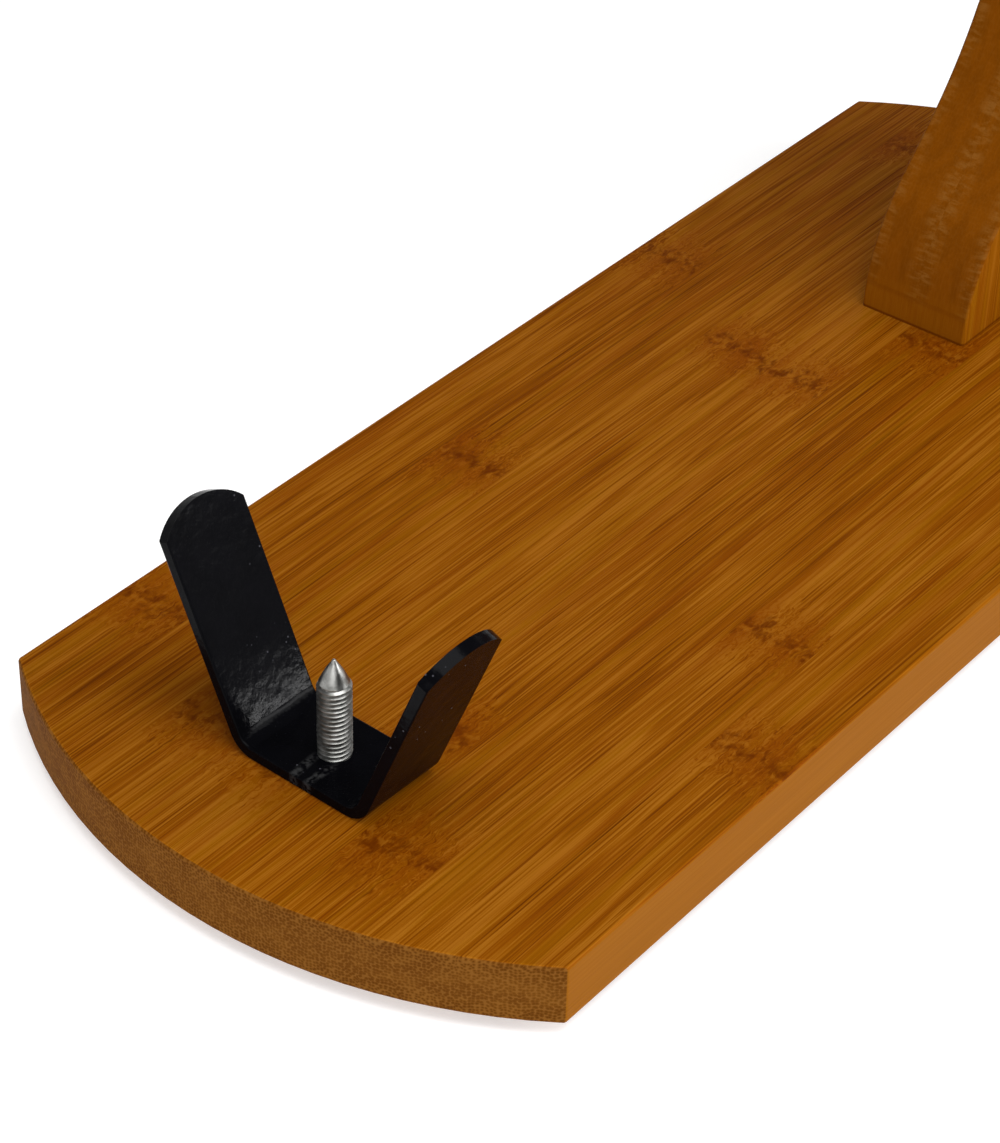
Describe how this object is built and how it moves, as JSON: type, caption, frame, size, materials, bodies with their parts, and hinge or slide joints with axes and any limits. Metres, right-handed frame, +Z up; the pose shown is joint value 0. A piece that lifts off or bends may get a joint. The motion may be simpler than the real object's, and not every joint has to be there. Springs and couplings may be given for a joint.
{
  "type": "ham holder stand",
  "caption": "Bamboo board with a forked steel rest and spike at one end and a curved bamboo post at the other, topped by a hoof ring with a knobbed clamp screw.",
  "frame": {"origin": "on the surface the feet stand on, under the middle of the board", "axes": "+X along the board from the spiked rest to the post, +Y across the board to the left when looking from the rest to the post, +Z up"},
  "size_m": [0.4, 0.16, 0.3414],
  "materials": {
    "board_bamboo": "carbonised bamboo strips, satin lacquer",
    "post_bamboo": "carbonised bamboo plies, satin lacquer",
    "dowel_wood": "plain turned beech",
    "foot_rubber": "moulded matt black rubber",
    "black_coat": "semi-gloss black powder coat",
    "zinc_stud": "bright zinc plate over rolled thread",
    "zinc_screws": "bright zinc plate",
    "zinc_washers": "bright zinc plate",
    "zinc_nuts": "bright zinc plate",
    "zinc_pad": "turned steel, zinc plate",
    "pad_rubber": "soft black rubber",
    "insert_brass": "turned brass",
    "knob_plastic": "black moulded plastic, fine grain"
  },
  "bodies": {
    "stand": {"base_board": "board_bamboo", "post_ply_left": "post_bamboo", "post_ply_right": "post_bamboo", "post_dowels": "dowel_wood", "foot_rest_left": "foot_rubber", "foot_rest_right": "foot_rubber", "foot_post_left": "foot_rubber", "foot_post_right": "foot_rubber", "foot_screws": "zinc_screws", "post_screws": "zinc_screws", "post_screw_washers": "zinc_washers", "ring_screws": "zinc_screws", "ring_washers": "zinc_washers", "front_rest_bracket": "black_coat", "hoof_ring": "black_coat", "clamp_boss": "black_coat", "spike_stud": "zinc_stud", "spike_washer": "zinc_washers", "spike_nut": "zinc_nuts"},
    "pad": {"pressure_pad": "zinc_pad", "pad_face": "pad_rubber"},
    "clamp": {"clamp_screw": "zinc_stud", "knob_lock_nut": "zinc_nuts", "knob_insert": "insert_brass", "clamp_knob": "knob_plastic"}
  },
  "joints": [
    {"name": "clamp_travel", "type": "slide", "parent": "stand", "child": "pad", "axis": [0.6691, 0, -0.7431], "range_m": [-0.017, 0.017]},
    {"name": "screw_turn", "type": "hinge", "parent": "pad", "child": "clamp", "pos_m": [0.05248, 0, 0.30109], "axis": [0.6691, 0, -0.7431], "range_deg": [-4900, 4900]}
  ],
  "couplings": [
    {"joint": "screw_turn", "follows": "clamp_travel", "rad_per_m": 5026.5}
  ]
}
